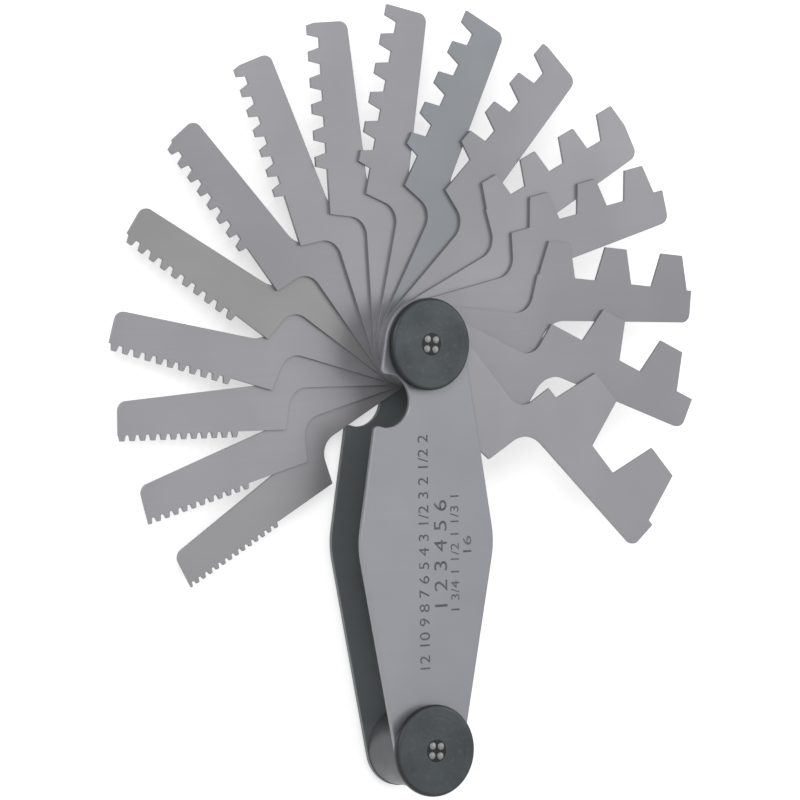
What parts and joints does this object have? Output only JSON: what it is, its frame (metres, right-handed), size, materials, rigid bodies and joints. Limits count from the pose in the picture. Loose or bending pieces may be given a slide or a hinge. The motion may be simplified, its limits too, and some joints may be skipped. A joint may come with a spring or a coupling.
{
  "type": "thread pitch gauge",
  "caption": "Folding pitch gauge: toothed steel leaves for trapezoidal threads fanned out round a riveted pivot between two waisted covers.",
  "frame": {"origin": "on the axis the leaves turn about, in the plane the gauge rests on", "axes": "+Z out of the front cover, +Y along the case from the tail to the leaf pivot, +X to the right seen from the front"},
  "size_m": [0.1628, 0.1924, 0.0203],
  "materials": {
    "leaf_steel": "satin ground, with fine grain along the blade",
    "cover_steel": "satin",
    "black_steel": "blackened and oiled, turned face",
    "rivet_steel": "blackened, staked end",
    "bush_steel": "turned"
  },
  "bodies": {
    "case": {"front_cover": "cover_steel", "rear_cover": "cover_steel", "front_pivot_disc": "black_steel", "rear_pivot_disc": "black_steel", "front_tail_disc": "black_steel", "rear_tail_disc": "black_steel", "pivot_rivet": "rivet_steel", "tail_rivet": "rivet_steel", "tail_bush": "bush_steel"},
    "leaf_tpi_12": {"leaf_tpi_12": "leaf_steel"},
    "leaf_tpi_10": {"leaf_tpi_10": "leaf_steel"},
    "leaf_tpi_9": {"leaf_tpi_9": "leaf_steel"},
    "leaf_tpi_8": {"leaf_tpi_8": "leaf_steel"},
    "leaf_tpi_7": {"leaf_tpi_7": "leaf_steel"},
    "leaf_tpi_6": {"leaf_tpi_6": "leaf_steel"},
    "leaf_tpi_5": {"leaf_tpi_5": "leaf_steel"},
    "leaf_tpi_4": {"leaf_tpi_4": "leaf_steel"},
    "leaf_tpi_3_1_2": {"leaf_tpi_3_1_2": "leaf_steel"},
    "leaf_tpi_3": {"leaf_tpi_3": "leaf_steel"},
    "leaf_tpi_2_1_2": {"leaf_tpi_2_1_2": "leaf_steel"},
    "leaf_tpi_2": {"leaf_tpi_2": "leaf_steel"},
    "leaf_tpi_1_3_4": {"leaf_tpi_1_3_4": "leaf_steel"},
    "leaf_tpi_1_1_2": {"leaf_tpi_1_1_2": "leaf_steel"},
    "leaf_tpi_1_1_3": {"leaf_tpi_1_1_3": "leaf_steel"},
    "leaf_tpi_1": {"leaf_tpi_1": "leaf_steel"}
  },
  "joints": [
    {"name": "tpi_12_turn", "type": "hinge", "parent": "case", "child": "leaf_tpi_12", "pos_m": [0, 0, 0.01017], "axis": [0, 0, 1], "continuous": true},
    {"name": "tpi_10_turn", "type": "hinge", "parent": "case", "child": "leaf_tpi_10", "pos_m": [0, 0, 0.01017], "axis": [0, 0, 1], "continuous": true},
    {"name": "tpi_9_turn", "type": "hinge", "parent": "case", "child": "leaf_tpi_9", "pos_m": [0, 0, 0.01017], "axis": [0, 0, 1], "continuous": true},
    {"name": "tpi_8_turn", "type": "hinge", "parent": "case", "child": "leaf_tpi_8", "pos_m": [0, 0, 0.01017], "axis": [0, 0, 1], "continuous": true},
    {"name": "tpi_7_turn", "type": "hinge", "parent": "case", "child": "leaf_tpi_7", "pos_m": [0, 0, 0.01017], "axis": [0, 0, 1], "continuous": true},
    {"name": "tpi_6_turn", "type": "hinge", "parent": "case", "child": "leaf_tpi_6", "pos_m": [0, 0, 0.01017], "axis": [0, 0, 1], "continuous": true},
    {"name": "tpi_5_turn", "type": "hinge", "parent": "case", "child": "leaf_tpi_5", "pos_m": [0, 0, 0.01017], "axis": [0, 0, 1], "continuous": true},
    {"name": "tpi_4_turn", "type": "hinge", "parent": "case", "child": "leaf_tpi_4", "pos_m": [0, 0, 0.01017], "axis": [0, 0, 1], "continuous": true},
    {"name": "tpi_3_1_2_turn", "type": "hinge", "parent": "case", "child": "leaf_tpi_3_1_2", "pos_m": [0, 0, 0.01017], "axis": [0, 0, 1], "continuous": true},
    {"name": "tpi_3_turn", "type": "hinge", "parent": "case", "child": "leaf_tpi_3", "pos_m": [0, 0, 0.01017], "axis": [0, 0, 1], "continuous": true},
    {"name": "tpi_2_1_2_turn", "type": "hinge", "parent": "case", "child": "leaf_tpi_2_1_2", "pos_m": [0, 0, 0.01017], "axis": [0, 0, 1], "continuous": true},
    {"name": "tpi_2_turn", "type": "hinge", "parent": "case", "child": "leaf_tpi_2", "pos_m": [0, 0, 0.01017], "axis": [0, 0, 1], "continuous": true},
    {"name": "tpi_1_3_4_turn", "type": "hinge", "parent": "case", "child": "leaf_tpi_1_3_4", "pos_m": [0, 0, 0.01017], "axis": [0, 0, 1], "continuous": true},
    {"name": "tpi_1_1_2_turn", "type": "hinge", "parent": "case", "child": "leaf_tpi_1_1_2", "pos_m": [0, 0, 0.01017], "axis": [0, 0, 1], "continuous": true},
    {"name": "tpi_1_1_3_turn", "type": "hinge", "parent": "case", "child": "leaf_tpi_1_1_3", "pos_m": [0, 0, 0.01017], "axis": [0, 0, 1], "continuous": true},
    {"name": "tpi_1_turn", "type": "hinge", "parent": "case", "child": "leaf_tpi_1", "pos_m": [0, 0, 0.01017], "axis": [0, 0, 1], "continuous": true}
  ]
}
